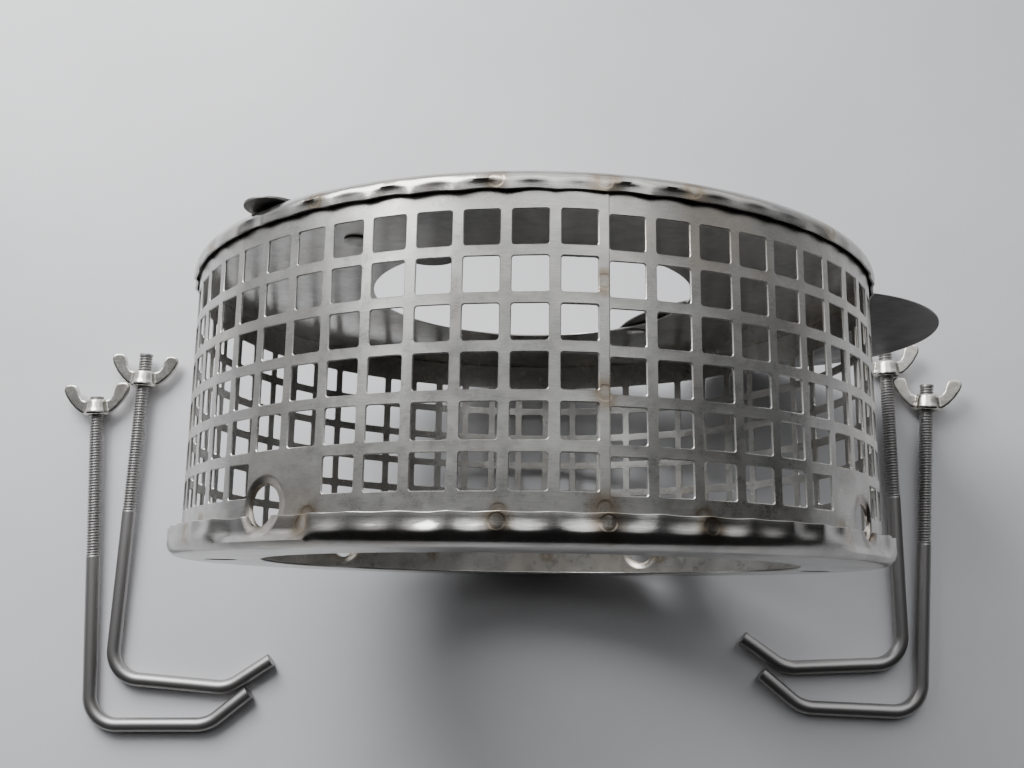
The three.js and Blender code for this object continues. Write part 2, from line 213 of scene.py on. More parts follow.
def plug(tree, socket, value):
    if isinstance(value, bpy.types.Node):
        value = value.outputs[0]
    if isinstance(value, bpy.types.NodeSocket):
        tree.links.new(value, socket)
    elif value is not None:
        socket.default_value = value


def name_in(tree, node, **values):
    for name, value in values.items():
        plug(tree, node.inputs[name.replace("_", " ")], value)
    return node


def calc(tree, operation, *values):
    return put(tree, "ShaderNodeMath", *values, operation=operation)


def ramp(tree, value, low, high, start=0.0, end=1.0):
    """Goes smoothly from start to end while value goes from low to high."""
    values = (value, low, high, start, end)
    return put(tree, "ShaderNodeMapRange", *values, interpolation_type="SMOOTHSTEP")


def mix(tree, amount, first, second, kind="RGBA"):
    """Goes from first to second with amount."""
    node = put(tree, "ShaderNodeMix", data_type=kind)
    values = [(*v, 1) if isinstance(v, tuple) else v for v in (amount, first, second)]
    fill(tree, [s for s in node.inputs if s.enabled], values)
    return [s for s in node.outputs if s.enabled][0]


def noise(tree, vector, scale, detail=3.0, roughness=0.5):
    node = put(tree, "ShaderNodeTexNoise", vector)
    return name_in(tree, node, Scale=scale, Detail=detail, Roughness=roughness).outputs[0]


def new_group(name, kind, inputs, outputs):
    """A node group with its named sockets, each a (name, type) that may have a default after it."""
    tree = bpy.data.node_groups.new(name, kind + "NodeTree")
    for way, sockets in (("INPUT", inputs), ("OUTPUT", outputs)):
        for item, shape, *default in sockets:
            socket = tree.interface.new_socket(item, in_out=way, socket_type="NodeSocket" + shape)
            if default:
                socket.default_value = default[0]
    return tree, tree.nodes.new("NodeGroupInput"), tree.nodes.new("NodeGroupOutput")


def geometry_group(name, inputs):
    """A geometry tree with these inputs between its geometry and its material."""
    inputs = [("Geometry", "Geometry"), *inputs, ("Material", "Material")]
    return new_group(name, "Geometry", inputs, [("Geometry", "Geometry")])


def close_group(tree, geometry, group_in, group_out):
    """Every geometry tree ends with its copies made real and its material set."""
    real = put(tree, "GeometryNodeRealizeInstances", geometry)
    painted = put(tree, "GeometryNodeSetMaterial", real, None, group_in.outputs["Material"])
    tree.links.new(painted.outputs[0], group_out.inputs[0])


def run_tree(obj, tree, **values):
    modifier = obj.modifiers.new("Build", "NODES")
    modifier.node_group = tree
    for item in tree.interface.items_tree:
        key = item.name.replace(" ", "_").lower()
        if item.in_out == "INPUT" and key in values:
            modifier[item.identifier] = values.pop(key)
    if values:
        raise ValueError(f"{tree.name} has no input {sorted(values)}")


# ---- shared effects ----
def make_grain_group():
    """Fine rolling marks along one direction, and the soft unevenness of handled steel."""
    inputs = [("Vector", "Vector"), ("Stretch", "Vector", (1, 1, 1)), ("Wear", "Float", 0.5)]
    outputs = [(item, "Float") for item in ("Tone", "Roughness", "Height")]
    tree, source, sink = new_group("Steel grain", "Shader", inputs, outputs)
    place = source.outputs["Vector"]
    along = put(tree, "ShaderNodeVectorMath", place, source.outputs["Stretch"], operation="MULTIPLY")
    lines = noise(tree, along, 900, 2.0)
    streaks = noise(tree, along, 160, 4.0, 0.6)
    clouds = noise(tree, place, 45, 5.0, 0.6)
    smears = noise(tree, place, 160, 3.0, 0.7)
    spread = calc(tree, "SUBTRACT", clouds, 0.5)
    tone = calc(tree, "MULTIPLY_ADD", spread, source.outputs["Wear"], 0.5)
    tone = calc(tree, "MULTIPLY_ADD", calc(tree, "SUBTRACT", streaks, 0.5), 0.3, tone)
    uneven = calc(tree, "SUBTRACT", smears, 0.5)
    rough = calc(tree, "MULTIPLY_ADD", uneven, source.outputs["Wear"], 0.5)
    rough = calc(tree, "MULTIPLY_ADD", calc(tree, "SUBTRACT", lines, 0.5), 0.5, rough)
    height = calc(tree, "MULTIPLY_ADD", lines, 0.35, calc(tree, "MULTIPLY", streaks, 0.65))
    fill(tree, sink.inputs, (tone, rough, height))
    return tree


# What a row of marks is made from: its first angle, step, level, and each mark's reach and radius.
MARKS = {"First": 0.0, "Step": 0.4, "Level": 0.0, "Reach": 6 * MM, "Radius": 120 * MM}


def make_weld_group():
    """A mask round spot welds that stand at equal steps round the drum at one level."""
    inputs = [("Vector", "Vector"), *[(item, "Float", value) for item, value in MARKS.items()]]
    outputs = [(item, "Float") for item in ("Mask", "Nugget", "Far")]
    tree, source, sink = new_group("Weld tint", "Shader", inputs, outputs)
    value = source.outputs
    part = put(tree, "ShaderNodeSeparateXYZ", value["Vector"])
    across = calc(tree, "SUBTRACT", part.outputs[0], AXIS_X)
    up = calc(tree, "SUBTRACT", part.outputs[2], AXIS_Z)
    turned = calc(tree, "SUBTRACT", calc(tree, "ARCTAN2", across, up), value["First"])
    steps = calc(tree, "DIVIDE", turned, value["Step"])
    off = calc(tree, "SUBTRACT", steps, calc(tree, "ROUND", steps))
    sideways = calc(tree, "MULTIPLY", calc(tree, "MULTIPLY", off, value["Step"]), value["Radius"])
    along = calc(tree, "SUBTRACT", part.outputs[1], value["Level"])
    # The marks stay near the rim: more than 2 mm inside it, the distance grows faster.
    spoke = put(tree, "ShaderNodeCombineXYZ", across, up, 0.0)
    inwards = calc(tree, "SUBTRACT", value["Radius"], length_of(tree, spoke))
    inwards = calc(tree, "MAXIMUM", calc(tree, "SUBTRACT", inwards, 2 * MM), 0.0)
    inwards = calc(tree, "MULTIPLY", inwards, 1.5)
    far = length_of(tree, put(tree, "ShaderNodeCombineXYZ", sideways, along, inwards))
    nugget = ramp(tree, far, WELD_R * 0.75, WELD_R, 1.0, 0.0)
    ragged = noise(tree, value["Vector"], 260, 3.0, 0.6)
    stain = 4.5 * MM  # how far the noise pushes the stain's edge in and out
    torn = calc(tree, "MULTIPLY_ADD", ragged, stain, calc(tree, "SUBTRACT", far, stain / 2))
    start = calc(tree, "MULTIPLY", value["Reach"], 0.35)
    outside = ramp(tree, torn, start, value["Reach"], 1.0, 0.0)
    inside_part = ramp(tree, torn, 0.0, calc(tree, "MULTIPLY", value["Reach"], 0.4), 0.45, 1.0)
    fill(tree, sink.inputs, (calc(tree, "MULTIPLY", outside, inside_part), nugget, far))
    return tree


def length_of(tree, vector):
    return put(tree, "ShaderNodeVectorMath", vector, operation="LENGTH").outputs["Value"]


def use_group(tree, group, **values):
    return name_in(tree, put(tree, "ShaderNodeGroup", node_tree=GROUPS[group]), **values)


def steel_material(name, base, rough, stretch, wear, bump, dark=0.55, welds=(), dishes=()):
    """Worn steel. welds and dishes are rows of marks."""
    material = bpy.data.materials.new(name)
    material.use_nodes = True
    tree = material.node_tree
    shader = tree.nodes["Principled BSDF"]
    shader.inputs["Metallic"].default_value = 1.0
    place = put(tree, "ShaderNodeTexCoord").outputs["Object"]
    grain = use_group(tree, "grain", Vector=place, Stretch=stretch, Wear=wear)
    shade = ramp(tree, grain.outputs["Tone"], 0.25, 0.75, dark, 1.25)
    body = put(tree, "ShaderNodeVectorMath", tuple(base), shade, operation="MULTIPLY").outputs[0]
    warm = ramp(tree, noise(tree, place, 28, 4.0, 0.65), 0.45, 0.75, 0.0, 0.35)
    body = mix(tree, warm, body, tuple(c * k for c, k in zip(base, WARM)))
    height = grain.outputs["Height"]
    for row in welds:
        mark = use_marks(tree, place, row)
        body = stained(tree, mark, 0.62, body)
        height = calc(tree, "MULTIPLY_ADD", mark.outputs["Nugget"], -2.5, height)
    nearest = 1.0
    for row in dishes:
        mark = use_marks(tree, place, row)
        body = stained(tree, mark, 0.5, body)
        nearest = calc(tree, "MINIMUM", nearest, mark.outputs["Far"])
    plug(tree, shader.inputs["Base Color"], body)
    roughness = ramp(tree, grain.outputs["Roughness"], 0.2, 0.8, rough * 0.72, rough * 1.35)
    plug(tree, shader.inputs["Roughness"], roughness)
    relief = put(tree, "ShaderNodeBump")
    name_in(tree, relief, Strength=bump, Distance=GRAIN_DEPTH, Height=height)
    if dishes:
        wall = bpy.context.scene.guard_wall
        bowl = ramp(tree, nearest, wall.fixing_hole / 2 - 0.5 * MM, DISH_REACH)
        dish = put(tree, "ShaderNodeBump")
        relief = name_in(tree, dish, Strength=1.0, Distance=wall.dish, Height=bowl, Normal=relief)
    plug(tree, shader.inputs["Normal"], relief)
    return material


def use_marks(tree, place, row):
    return use_group(tree, "weld", Vector=place, **dict(zip(MARKS, row)))


def stained(tree, mark, strength, body):
    """The colour so far, with the brown of heated steel laid over it where the mark is."""
    amount = calc(tree, "MULTIPLY", mark.outputs["Mask"], strength)
    return mix(tree, amount, body, tuple(bpy.context.scene.guard_finish.tint))


GROUPS = {}
WARM = (0.86, 0.74, 0.58)  # what the warmer patches of a steel keep of its colour
GRAIN_DEPTH = 0.12 * MM


def wall_welds():
    """The heat marks on the wall: above the base flange's welds and down the seam."""
    edge = BASE_HIGH[1]
    rows = [(weld_start(), math.tau / WELDS, edge, 4.2 * MM, WALL_R)]
    rows += [(SEAM, math.tau, edge + 1 * MM, 6.5 * MM, WALL_R)]
    return rows + [(SEAM, math.tau, edge + up * MM, 5.5 * MM, WALL_R) for up in (30, 59)]


def flange_welds():
    """The welds round the two flanges, and one more on each at the seam."""
    base_level, cap_level = BASE_HIGH[1] - 2.6 * MM, CAP_LOW[1] + 3 * MM
    step = math.tau / WELDS
    rows = [(weld_start() - 0.14 * column_angle(), step, cap_level, 5.2 * MM, CAP_R)]
    rows += [(weld_start(), step, base_level, 5.5 * MM, BASE_R)]
    rows += [(SEAM, math.tau, cap_level, 6.5 * MM, CAP_R)]
    return rows + [(SEAM, math.tau, base_level, 6.5 * MM, BASE_R)]


def fixing_marks():
    """The brown rims of the four holes for the bolts."""
    level = ROWS_ZERO - bpy.context.scene.guard_wall.fixing_drop
    return [(fixing_angle(column), math.tau, level, 10.5 * MM, WALL_R) for column in FIXINGS]


def material_for(name):
    """The finished material of that name, made when it is first asked for."""
    if not GROUPS:
        GROUPS["grain"] = make_grain_group()
        GROUPS["weld"] = make_weld_group()
    if name in bpy.data.materials:
        return bpy.data.materials[name]
    look = bpy.context.scene.guard_finish
    wear = look.wear
    if name == "wall_steel":
        marks = {"welds": wall_welds(), "dishes": fixing_marks()}
        return steel_material(name, look.wall, 0.3, (2, 40, 2), wear, 0.12, **marks)
    if name == "formed_steel":
        marks = {"welds": flange_welds(), "dishes": fixing_marks()}
        return steel_material(name, look.formed, 0.2, (2, 30, 2), wear, 0.14, **marks)
    plain = {
        # The cover and the catch share this steel, whose dark colour is painted shade.
        "cover_steel": (look.cover, 0.42, (30, 2, 3), wear, 0.2, 0.6),
        "rivet_steel": (look.rivet, 0.28, (4, 4, 4), 0.7, 0.15),
        "rod_steel": (look.rod, 0.24, (20, 3, 20), 0.7, 0.12, 0.5),
        "nut_plate": (look.nut, 0.19, (3, 3, 3), 0.5, 0.35, 0.6),
    }
    return steel_material(name, *plain[name])


def column_angle():
    return math.tau / bpy.context.scene.guard_wall.columns


def fixing_angle(column):
    return SEAM + (column + 0.5) * column_angle()


def weld_start():
    return SEAM - 2.07 * column_angle()


# ---- meshes ----
def add_object(name, mesh):
    obj = bpy.data.objects.new(name, mesh)
    bpy.context.scene.collection.objects.link(obj)
    return obj


def mesh_from(name, points, faces):
    mesh = bpy.data.meshes.new(name)
    mesh.from_pydata([tuple(p) for p in points], [], [tuple(f) for f in faces])
    mesh.update()
    return mesh


def bake(obj, name):
    """The object with its modifiers turned into a plain mesh, in place of the one they were on."""
    graph = bpy.context.evaluated_depsgraph_get()
    mesh = bpy.data.meshes.new_from_object(obj.evaluated_get(graph), depsgraph=graph)
    bpy.data.objects.remove(obj)
    if not mesh.polygons:
        raise RuntimeError(f"{name} came out empty")
    mesh.name = name
    return add_object(name, mesh)


def settle(obj, degrees, body, nodes, material):
    """A finished piece: smooth but for edges over degrees, with its material, body, slot and nodes."""
    obj.data.set_sharp_from_angle(angle=math.radians(degrees))
    for polygon in obj.data.polygons:
        polygon.use_smooth = True
    obj.data.materials.clear()
    obj.data.materials.append(material_for(material))
    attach(obj, body)
    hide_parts(*nodes)


def fillet(points, radii, steps=5):
    """The closed outline with each corner rounded by its own radius."""
    result = []
    count = len(points)
    for i, radius in enumerate(radii):
        here = Vector(points[i])
        back = (Vector(points[i - 1]) - here).normalized()
        ahead = (Vector(points[(i + 1) % count]) - here).normalized()
        half = back.angle(ahead) / 2
        if radius <= 0:
            result.append(here)
            continue
        reach = radius / math.tan(half)
        centre = here + (back + ahead).normalized() * (radius / math.sin(half))
        start, end = here + back * reach - centre, here + ahead * reach - centre
        for k in range(steps + 1):
            mixed = start.lerp(end, k / steps).normalized() * radius
            result.append(centre + mixed)
    return result


def with_steps(outline, longest):
    """The outline with extra points along its upright stretches, none farther apart than longest."""
    result = []
    for here, there in zip(outline, outline[1:] + outline[:1]):
        result.append(Vector(here))
        if abs(here[0] - there[0]) < 1e-6:
            count = math.ceil(abs(there[1] - here[1]) / longest)
            result += [Vector(here).lerp(Vector(there), k / count) for k in range(1, count)]
    return result


def lathe(name, outline, segments, centre=(AXIS_X, AXIS_Z), shape=None):
    """An outline of (radius, level) swept round an axis, closed unless it starts on that axis."""
    points, faces = [], []
    count = len(outline)
    for angle in np.arange(segments) * math.tau / segments:
        for radius, level in outline:
            if shape:
                radius, level = shape(angle, radius, level)
            x, z = centre[0] + radius * math.sin(angle), centre[1] + radius * math.cos(angle)
            points.append((x, level, z))
    for i in range(segments):
        j = (i + 1) % segments
        for k in range(count if outline[0][0] else count - 1):
            m = (k + 1) % count
            faces.append((i * count + k, i * count + m, j * count + m, j * count + k))
    return add_object(name, outward(mesh_from(name, points, faces)))


def outward(mesh):
    work = bmesh.new()
    work.from_mesh(mesh)
    bmesh.ops.remove_doubles(work, verts=work.verts, dist=1e-7)
    bmesh.ops.recalc_face_normals(work, faces=work.faces)
    if work.calc_volume(signed=True) < 0:
        bmesh.ops.reverse_faces(work, faces=work.faces)
    work.to_mesh(mesh)
    work.free()
    return mesh


def drill(obj, cutters):
    """Cuts the cutters' shapes out of the object and removes them."""
    for cutter in cutters:
        cut = obj.modifiers.new("Cut", "BOOLEAN")
        cut.object, cut.operation, cut.solver = cutter, "DIFFERENCE", "EXACT"
    done = bake(obj, obj.name)
    for cutter in cutters:
        bpy.data.objects.remove(cutter)
    return done


def post(radius, depth, matrix, sides=40):
    """A round cutter."""
    work = bmesh.new()
    size = {"radius1": radius, "radius2": radius, "depth": depth}
    bmesh.ops.create_cone(work, cap_ends=True, segments=sides, matrix=matrix, **size)
    return from_bmesh("cutter", work)


def from_bmesh(name, work):
    mesh = bpy.data.meshes.new(name)
    work.to_mesh(mesh)
    work.free()
    return add_object(name, mesh)


def about_axis(angle):
    """Turns a thing made at the top of the drum to another place round it."""
    return Matrix.Translation((AXIS_X, 0, AXIS_Z)) @ Matrix.Rotation(angle, 4, "Y")


UPRIGHT = Matrix.Rotation(math.pi / 2, 4, "X")  # lays a cutter along the drum's axis


# ---- the perforated wall ----
LAP = 1.42  # columns of the strip from where it starts to rise over its own beginning to its end


def patch(low, high, marks, loop=None, inner=(), extra=()):
    """A flat triangulated patch of sheet with one hole, as (points, faces)."""
    xs = list(marks)
    ys = sorted({low, high, *[y for y in inner if low < y < high]})
    outline = [(x, low) for x in xs[:-1]] + [(xs[-1], y) for y in ys[:-1]]
    outline += [(x, high) for x in xs[:0:-1]] + [(xs[0], y) for y in ys[:0:-1]]
    points = [Vector(p) for p in outline]
    edges = [(i, (i + 1) % len(outline)) for i in range(len(outline))]
    if loop:
        first = len(points)
        points += [Vector(p) for p in loop]
        edges += [(first + i, first + (i + 1) % len(loop)) for i in range(len(loop))]
    points += [Vector(p) for p in extra if abs(p[0]) < marks[-1] * 0.995 and low < p[1] < high]
    done = delaunay_2d_cdt(points, edges, [], 0, 1e-7)
    places, triangles = done[0], done[2]
    if loop:
        middles = [sum((places[i] for i in t), Vector((0, 0))) / 3 for t in triangles]
        triangles = [t for t, spot in zip(triangles, middles) if not inside(spot, loop)]
    return [(p.x, p.y, 0) for p in places], [tuple(t) for t in triangles]


def inside(point, loop):
    hit = False
    for (x1, y1), (x2, y2) in zip(loop, loop[1:] + loop[:1]):
        if (y1 > point.y) != (y2 > point.y):
            if point.x < x1 + (point.y - y1) * (x2 - x1) / (y2 - y1):
                hit = not hit
    return hit


def square_loop(half, radius, middle):
    low, high = middle - half, middle + half
    corners = [(-half, low), (half, low), (half, high), (-half, high)]
    return [tuple(p) for p in fillet(corners, [radius] * 4, 4)]


def round_loop(radius, middle, count=40):
    turns = [math.tau * i / count for i in range(count)]
    return [(radius * math.cos(a), middle + radius * math.sin(a)) for a in turns]


def cell_collection(wall, bottom, top):
    """The kinds of cell the sheet is made of, each flat and centred on its column.

    A collection hands its objects out in the order of their names, so the names start with their kind.
    """
    half, hole, fixing = PITCH / 2, wall.hole / 2, wall.fixing_hole / 2
    marks = (-half, -hole, hole, half)
    low = -(PITCH - wall.hole) / 2
    high = low + PITCH
    sides = (0, wall.hole)
    round_middle = -wall.fixing_drop
    square = square_loop(hole, wall.corner, hole)
    circle = round_loop(fixing, round_middle)
    rim = round_loop((fixing + RIM_REACH) / 2, round_middle) + round_loop(RIM_REACH, round_middle)
    cells = {
        "cell_0_pierced": patch(low, high, marks, square, sides),
        "cell_1_plain": patch(low, high, marks, None, sides),
        "cell_2_foot": patch(bottom, low, marks),
        "cell_3_head": patch(low + wall.rows * PITCH, top, marks),
        "cell_4_fixing": patch(bottom, high, marks, circle, (low, *sides), rim),
    }
    group = bpy.data.collections.new("wall_cells")
    for name, (points, faces) in cells.items():
        group.objects.link(bpy.data.objects.new(name, mesh_from(name, points, faces)))
    return group


def make_wall_tree():
    """Sets a cell at every point, joins them, rolls the strip round the drum and thickens it."""
    numbers = ("Pitch", "Columns", "Radius", "Sheet", "Drift", "Rows Top", "Level", "Seam")
    inputs = [("Cells", "Collection"), *[(item, "Float") for item in numbers]]
    tree, source, sink = geometry_group("Perforated sheet", inputs)
    value = source.outputs
    cells = put(tree, "GeometryNodeCollectionInfo", value["Cells"], True, True)
    kind = put(tree, "GeometryNodeInputNamedAttribute", "kind", data_type="INT")
    copies = put(tree, "GeometryNodeInstanceOnPoints", value["Geometry"])
    name_in(tree, copies, Instance=cells, Pick_Instance=True, Instance_Index=kind.outputs["Attribute"])
    sheet = put(tree, "GeometryNodeRealizeInstances", copies)
    sheet = put(tree, "GeometryNodeMergeByDistance", sheet)
    name_in(tree, sheet, Distance=SMALLEST_GAP)
    flat = put(tree, "ShaderNodeSeparateXYZ", put(tree, "GeometryNodeInputPosition"))
    column = calc(tree, "DIVIDE", flat.outputs[0], value["Pitch"])
    turn = calc(tree, "DIVIDE", column, value["Columns"])
    # The strip's end laps one column over its beginning and is cut just short of the next holes.
    lapped = calc(tree, "SUBTRACT", value["Columns"], LAP)
    over = ramp(tree, column, lapped, calc(tree, "ADD", lapped, 0.3))
    rise = calc(tree, "MULTIPLY", over, calc(tree, "MULTIPLY", value["Sheet"], 1.03))
    radius = calc(tree, "ADD", rise, calc(tree, "SUBTRACT", value["Radius"], value["Sheet"]))
    last = calc(tree, "GREATER_THAN", column, calc(tree, "SUBTRACT", value["Columns"], 0.01))
    column = calc(tree, "MULTIPLY_ADD", last, 0.1, column)
    angle = calc(tree, "DIVIDE", calc(tree, "MULTIPLY", column, math.tau), value["Columns"])
    angle = calc(tree, "ADD", angle, value["Seam"])
    level = flat.outputs[1]
    above = calc(tree, "GREATER_THAN", level, -2 * MM)
    among = calc(tree, "MULTIPLY", above, calc(tree, "LESS_THAN", level, value["Rows Top"]))
    sink_by = calc(tree, "MULTIPLY", value["Drift"], calc(tree, "SUBTRACT", turn, 1.0))
    # The column under the lap keeps level with the one over it.
    sink_by = calc(tree, "MULTIPLY", sink_by, calc(tree, "GREATER_THAN", column, -0.1))
    level = calc(tree, "MULTIPLY_ADD", among, sink_by, level)
    level = calc(tree, "ADD", level, value["Level"])
    x = calc(tree, "MULTIPLY_ADD", radius, calc(tree, "SINE", angle), AXIS_X)
    z = calc(tree, "MULTIPLY_ADD", radius, calc(tree, "COSINE", angle), AXIS_Z)
    place = put(tree, "ShaderNodeCombineXYZ", x, level, z)
    rolled = put(tree, "GeometryNodeSetPosition", sheet, None, place)
    # Thickness: the outer skin is pushed out from the inner one, whose faces are turned over.
    thick = put(tree, "GeometryNodeExtrudeMesh", rolled)
    name_in(tree, thick, Offset_Scale=value["Sheet"], Individual=False)
    inner = put(tree, "GeometryNodeFlipFaces", rolled)
    whole = put(tree, "GeometryNodeJoinGeometry", thick)
    plug(tree, whole.inputs[0], inner)
    whole = put(tree, "GeometryNodeMergeByDistance", whole)
    name_in(tree, whole, Distance=SMALLEST_GAP)
    close_group(tree, whole, source, sink)
    return tree


def press_rims(mesh, wall, radius):
    """Turns the rim of each fixing hole inwards."""
    count = len(mesh.vertices)
    places = np.empty(count * 3)
    mesh.vertices.foreach_get("co", places)
    places = places.reshape(count, 3)
    x, y, z = (places - (AXIS_X, 0, AXIS_Z)).T
    angle, out = np.arctan2(x, z), np.hypot(x, z)
    for column in FIXINGS:
        aside = np.angle(np.exp(1j * (angle - fixing_angle(column)))) * radius
        far = np.hypot(aside, y - ROWS_ZERO + wall.fixing_drop)
        depth = np.clip((RIM_REACH - far) / (RIM_REACH - wall.fixing_hole / 2), 0, 1)
        out = out - wall.rim * depth * depth * (3 - 2 * depth)
    places[:, 0] = AXIS_X + out * np.sin(angle)
    places[:, 2] = AXIS_Z + out * np.cos(angle)
    mesh.vertices.foreach_set("co", places.ravel())
    mesh.update()


class GUARD_OT_wall(bpy.types.Operator):
    """Rolls the perforated sheet into the drum, lapped at its seam, with four dished fixing holes"""

    bl_idname = "bird_guard.wall"
    bl_label = "Perforated wall"

    def execute(self, context):
        wall = context.scene.guard_wall
        radius = PITCH * wall.columns / math.tau
        height = WALL_HIGH[1] - WALL_LOW[1]
        spots, kinds = [], []
        for column in range(-1, wall.columns):
            fixing = column in FIXINGS
            x = (column + 0.5) * PITCH
            spots.append((x, 0, 0))
            kinds.append(HEAD)
            if not fixing:
                spots.append((x, 0, 0))
                kinds.append(FOOT)
            kinds.append(FIXING if fixing else PLAIN if column in PLAINS else PIERCED)
            kinds += [PIERCED] * (wall.rows - 1)
            spots += [(x, row * PITCH, 0) for row in range(wall.rows)]
        mesh = mesh_from("wall_points", spots, [])
        mesh.attributes.new("kind", "INT", "POINT").data.foreach_set("value", kinds)
        obj = add_object("wall_points", mesh)
        cells = cell_collection(wall, -FOOT_BAND, height - FOOT_BAND)
        sizes = {"pitch": PITCH, "columns": float(wall.columns), "radius": radius, "sheet": wall.sheet}
        places = {"drift": wall.drift, "rows_top": wall.rows * PITCH, "level": ROWS_ZERO, "seam": SEAM}
        paint = material_for("wall_steel")
        run_tree(obj, make_wall_tree(), cells=cells, material=paint, **sizes, **places)
        worn = obj.modifiers.new("Worn edges", "BEVEL")
        worn.width, worn.segments, worn.limit_method = wall.rolled_edge, 1, "ANGLE"
        worn.angle_limit = math.radians(55)
        worn.use_clamp_overlap = True
        obj = bake(obj, "rolled_wall")
        for cell in list(cells.objects):
            bpy.data.objects.remove(cell)
        bpy.data.collections.remove(cells)
        press_rims(obj.data, wall, radius)
        settle(obj, 25, "drum", ["perforated_wall"], "wall_steel")
        return {"FINISHED"}


# ---- the cap and the base ring ----
DENT_SPREAD = 0.55  # the share by which one hammer mark may be shallower than the deepest
SLICES = 10  # steps round the flange in each column


def soft_step(value):
    """Goes smoothly from 0 to 1 with value, and stays there."""
    value = min(max(value, 0), 1)
    return value * value * (3 - 2 * value)


def dents(seed, columns, depth, start, end, wave, pressed=0.0):
    """The shape of a flange hammered once a column, from its fold at start to its lip at end.

    The lip also waves in height, and the flange may be pressed flat on the wall round the fixing holes.
    """
    draw = np.random.default_rng(seed)
    deep = draw.uniform(1 - DENT_SPREAD, 1, columns)
    shift = draw.uniform(-0.25, 0.25, columns)

    def shape(angle, radius, level):
        where = (angle - SEAM) / (math.tau / columns)
        column = math.floor(where)
        share_in = where - column
        bowl = math.sin(math.pi * share_in) ** 1.3
        bowl *= 1 + shift[column % columns] * math.cos(math.pi * share_in)
        bowl *= deep[column % columns] * soft_step((level - start) / (end - start))
        sunk = depth * bowl
        if pressed:
            half = columns / 2
            aside = min(abs((where - f - 0.5 + half) % columns - half) for f in FIXINGS)
            low_reach = min(max((level - start + 1.5 * MM) / (2.5 * MM), 0), 1)
            sunk += (max(pressed * low_reach, sunk) - sunk) * soft_step(1.9 - aside)
        return radius - sunk, level + wave * bowl

    return shape


class GUARD_OT_rings(bpy.types.Operator):
    """Makes the cap and the base ring, with their bent flanges and hammer marks"""

    bl_idname = "bird_guard.rings"
    bl_label = "Cap and base ring"

    def execute(self, context):
        rings, wall = context.scene.guard_rings, context.scene.guard_wall
        thick, fold = rings.sheet, rings.cap_fold
        face, lip = CAP_HIGH[1], CAP_LOW[1]
        outline = [(rings.cap_hole, face), (rings.cap_hole, face - thick)]
        outline += [(CAP_R - thick, face - thick), (CAP_R - thick, lip), (CAP_R, lip), (CAP_R, face)]
        radii = [NICK, NICK, fold - thick, NICK, NICK, fold]
        shape = dents(5, wall.columns, rings.cap_dent, face - fold * 0.6, lip + 1.2 * MM, 0.7 * MM)
        cap = self.ring("formed_cap", outline, radii, shape, wall.columns)
        settle(cap, 35, "drum", ["top_cap"], "formed_steel")

        fold, foot, edge = rings.base_fold, BASE_LOW[1], BASE_HIGH[1]
        outline = [(rings.base_hole, foot), (BASE_R, foot), (BASE_R, edge), (BASE_R - thick, edge)]
        outline += [(BASE_R - thick, foot + thick), (rings.base_hole, foot + thick)]
        radii = [NICK, fold, NICK, NICK, fold - thick, NICK]
        span = foot + fold * 0.7, edge - 1.6 * MM
        shape = dents(11, wall.columns, rings.base_dent, *span, -0.3 * MM, 2.65 * MM)
        base = self.ring("formed_base", outline, radii, shape, wall.columns)
        cutters = []
        for angle in (SEAM - math.pi / 2, SEAM + math.pi / 2):
            spot = about_axis(angle) @ Matrix.Translation((0, foot, rings.bolt_circle))
            cutters.append(post(rings.bolt_hole / 2, 8 * thick, spot @ UPRIGHT))
        out = Matrix.Translation((0, ROWS_ZERO - wall.fixing_drop, BASE_R))
        for column in FIXINGS:
            spot = about_axis(fixing_angle(column)) @ out
            cutters.append(post(wall.fixing_hole / 2, 14 * MM, spot))
        base = drill(base, cutters)
        settle(base, 35, "drum", ["base_ring"], "formed_steel")
        return {"FINISHED"}

    def ring(self, name, outline, radii, shape, columns):
        """A ring of folded sheet with hammer marks on its flange."""
        outline = with_steps(fillet(outline, radii), 1.1 * MM)
        return lathe(name, outline, columns * SLICES, shape=shape)


# ---- the cover and its catch ----
RIVET_HOLE = 2.9 * MM
BEAD_IN = 6.5 * MM  # from the cover's edge to the middle of its pressed ring
BEAD_HALF = 3 * MM
CATCH_RISE = 1.1 * MM
MIDDLE_STEPS, END_STEPS = 60, 12  # steps along the catch's straight part and round each of its ends


